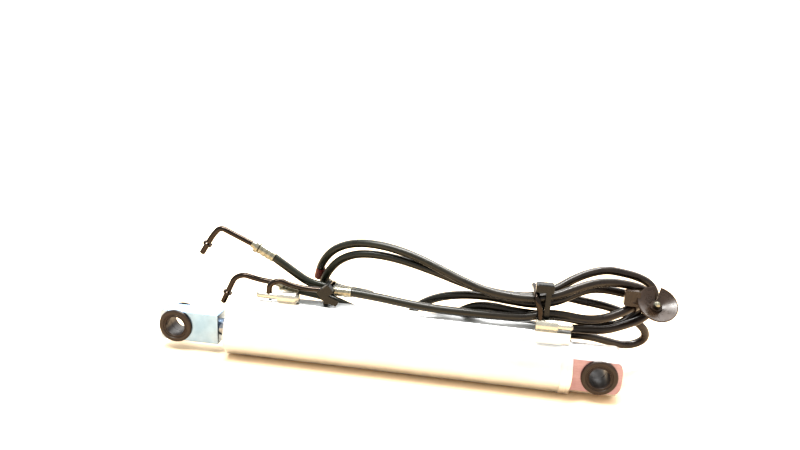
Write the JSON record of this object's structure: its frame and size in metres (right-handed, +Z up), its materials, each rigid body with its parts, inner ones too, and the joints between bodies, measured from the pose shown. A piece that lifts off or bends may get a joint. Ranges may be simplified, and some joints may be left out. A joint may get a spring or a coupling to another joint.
{
  "type": "hydraulic_cylinder",
  "caption": "Slim double-acting hydraulic linear actuator, aluminium barrel with a port spine, plastic-bushed eyes at both ends and two bundled hose lines with bent steel ends",
  "frame": {"origin": "centre of the cap-end eye bore", "axes": "+X along the barrel from the rod eye to the cap eye, +Y along both eye bores away from the port side, +Z up through the spine"},
  "size_m": [0.3625, 0.0763, 0.0937],
  "materials": {
    "barrel_aluminium": "satin drawn and clear anodised",
    "cap_aluminium": "milled satin",
    "zinc_steel": "zinc plated, blue passivated",
    "chrome_rod": "hard chromed and polished",
    "dark_steel": "dark nickel plated tube",
    "port_steel": "plated, slightly yellow",
    "ferrule_steel": "plated and crimped",
    "bush_plastic": "moulded, slightly glossy",
    "tie_plastic": "moulded nylon",
    "clip_plastic": "moulded, satin gloss",
    "hose_rubber": "extruded cover, semi matte",
    "seal_rubber": "moulded",
    "marker_red": "shrunk sleeve"
  },
  "bodies": {
    "cylinder": {"barrel": "barrel_aluminium", "head_gland": "cap_aluminium", "end_cap": "cap_aluminium", "cap_collar": "cap_aluminium", "gland_retaining_ring": "dark_steel", "rod_wiper": "seal_rubber", "rod_seal": "seal_rubber", "gland_o_ring": "seal_rubber", "cap_o_ring": "seal_rubber", "cap_bush_front": "bush_plastic", "cap_bush_rear": "bush_plastic", "port_boss_head": "port_steel", "port_boss_cap": "port_steel", "port_stub_head": "port_steel", "port_stub_cap": "port_steel", "port_tube_head": "dark_steel", "port_tube_cap": "dark_steel", "ferrule_hose_a": "ferrule_steel", "ferrule_hose_b": "ferrule_steel", "ferrule_line_1": "ferrule_steel", "ferrule_line_2": "ferrule_steel", "hose_a": "hose_rubber", "hose_b": "hose_rubber", "line_end_1": "dark_steel", "line_end_2": "dark_steel", "cable_tie_left": "tie_plastic", "cable_tie_right": "tie_plastic", "marker_sleeve": "marker_red", "clip_saddle": "clip_plastic", "clip_dish": "clip_plastic", "clip_pin": "ferrule_steel"},
    "piston": {"piston": "cap_aluminium", "piston_seal": "seal_rubber", "piston_wear_ring": "bush_plastic"},
    "rod": {"piston_rod": "chrome_rod", "piston_nut": "zinc_steel", "rod_eye_block": "zinc_steel", "rod_bush_front": "bush_plastic", "rod_bush_rear": "bush_plastic"}
  },
  "joints": [
    {"name": "rod_slide", "type": "slide", "parent": "cylinder", "child": "piston", "axis": [-1, 0, 0], "range_m": [0, 0.17]},
    {"name": "rod_swivel", "type": "hinge", "parent": "piston", "child": "rod", "pos_m": [-0.0445, 0, 0], "axis": [1, 0, 0], "continuous": true}
  ]
}
